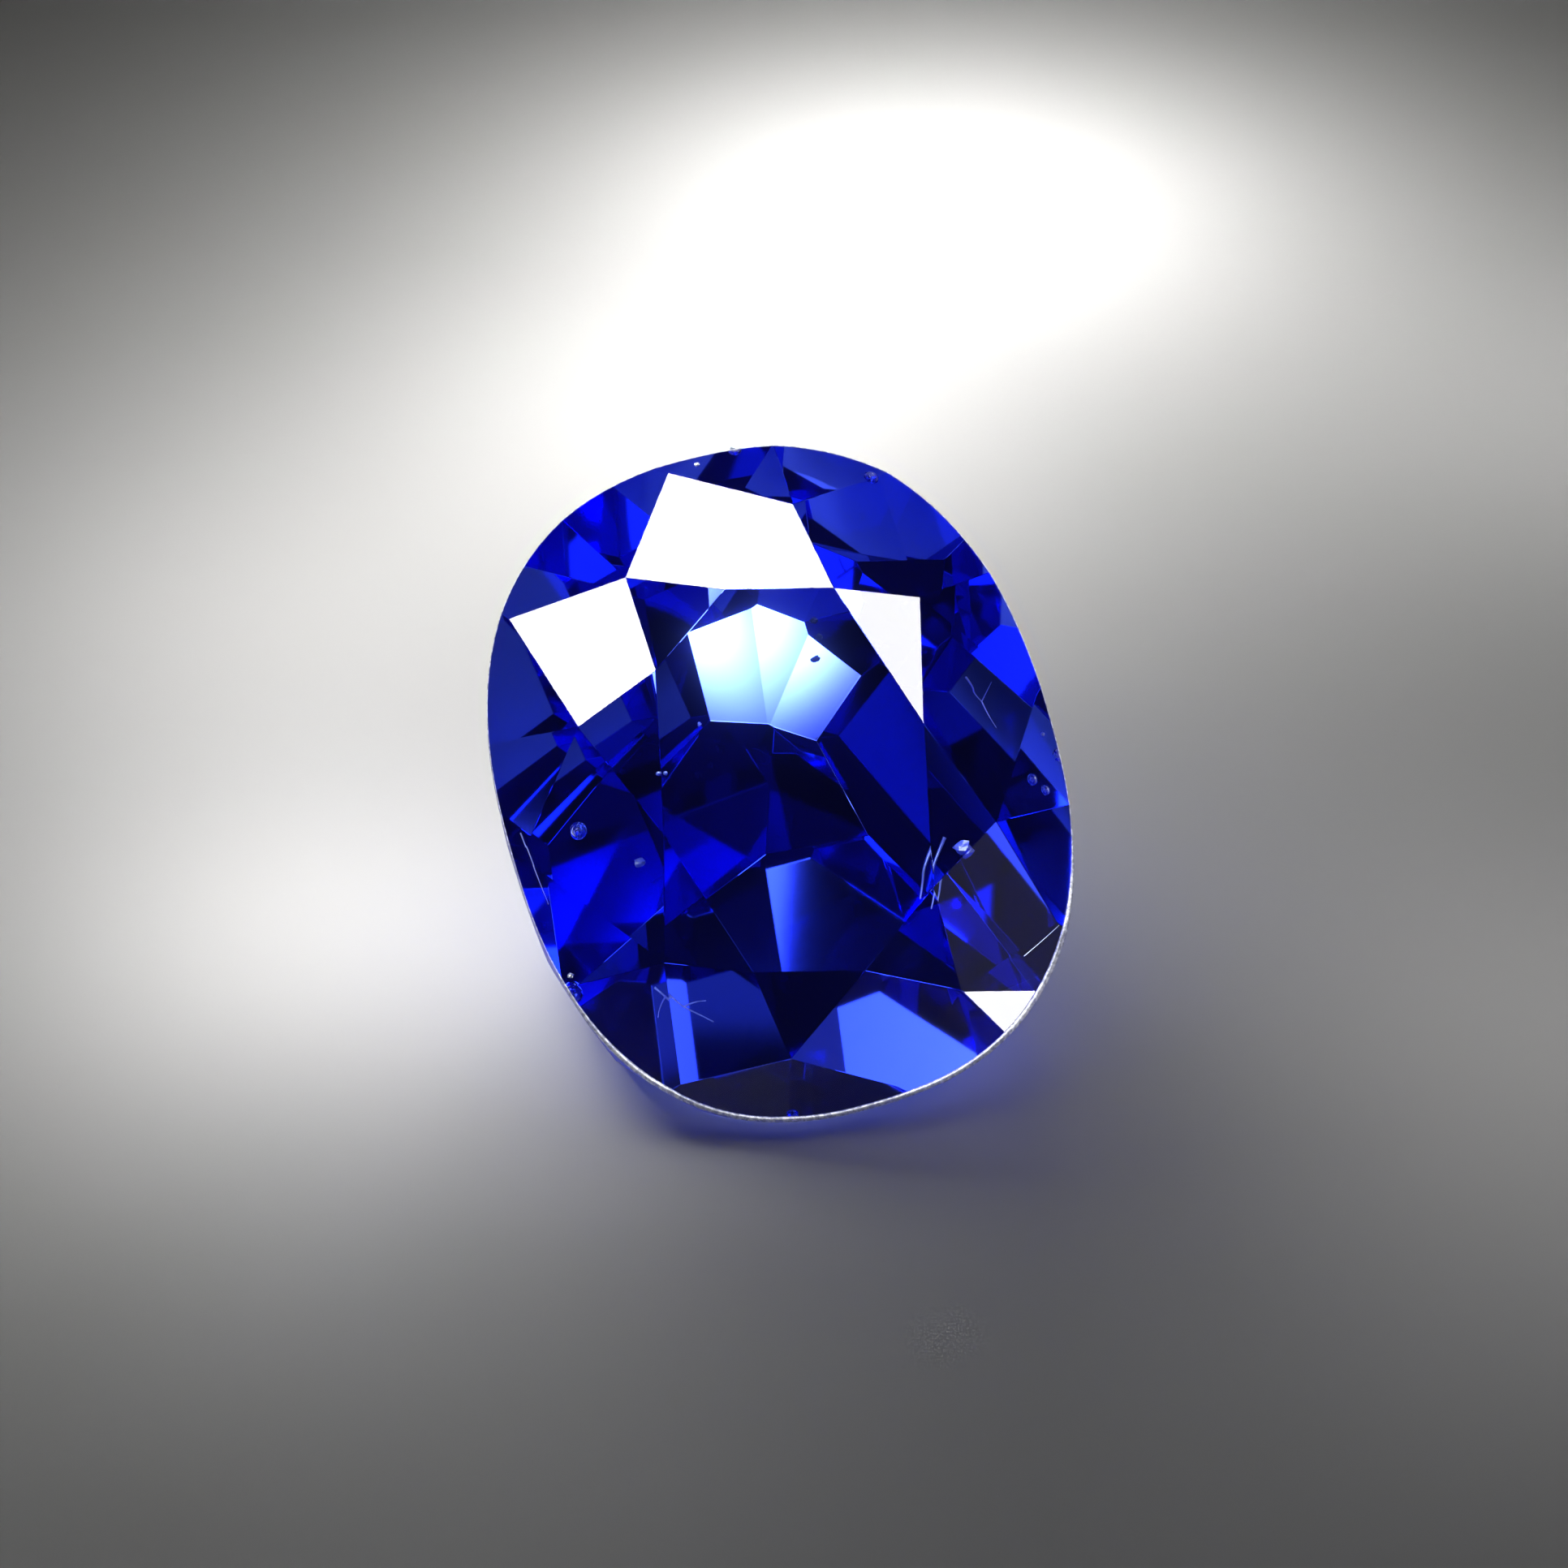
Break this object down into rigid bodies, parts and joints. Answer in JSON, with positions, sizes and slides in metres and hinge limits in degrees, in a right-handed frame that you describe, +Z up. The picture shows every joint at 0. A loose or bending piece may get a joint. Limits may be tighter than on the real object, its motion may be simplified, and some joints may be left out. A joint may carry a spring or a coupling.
{
  "type": "faceted gemstone",
  "caption": "Loose transparent blue gemstone, cut as a rounded oval cushion with a domed crown, resting on one facet of its deep pavilion.",
  "frame": {"origin": "centre of the stone's box at the level of the facet that it rests on", "axes": "+Z up, away from the surface that the stone rests on; the table looks forward and up, 45 degrees above -Y and 6 degrees towards +X; +X to the right of someone who looks along +Y"},
  "size_m": [0.0078, 0.0082, 0.0067],
  "materials": {
    "stone": "polished"
  },
  "bodies": {
    "root": {"gemstone": "stone"}
  },
  "joints": []
}
